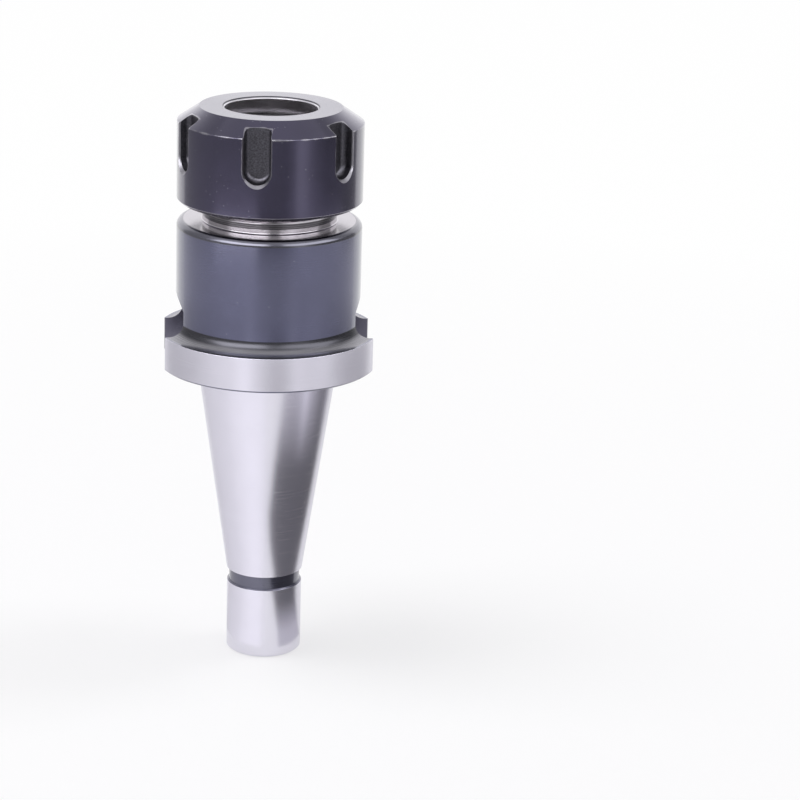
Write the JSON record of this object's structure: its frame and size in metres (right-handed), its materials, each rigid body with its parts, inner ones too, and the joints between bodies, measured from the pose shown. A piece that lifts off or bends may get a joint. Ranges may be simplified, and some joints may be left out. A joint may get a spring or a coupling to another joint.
{
  "type": "collet chuck holder",
  "caption": "Collet chuck holder: steep taper shank with drive flange, round body and threaded nose, and a slotted nut that presses a spring collet into the nose's tapered seat.",
  "frame": {"origin": "middle of the shank's end face, on which the holder stands", "axes": "+Z along the holder's axis from the shank's end towards the nut; the two drive slots lie on +X and -X"},
  "size_m": [0.047, 0.05, 0.1295],
  "materials": {
    "ground_steel": "ground bright, with fine turning lines",
    "blackened_steel": "black oxide, satin, with bright worn edges"
  },
  "bodies": {
    "holder": {"holder_body": "ground_steel"},
    "nut": {"clamping_nut": "blackened_steel"}
  },
  "joints": [
    {"name": "nut_travel", "type": "slide", "parent": "holder", "child": "nut", "axis": [0, 0, 1], "range_m": [-0.0015, 0.015]}
  ]
}
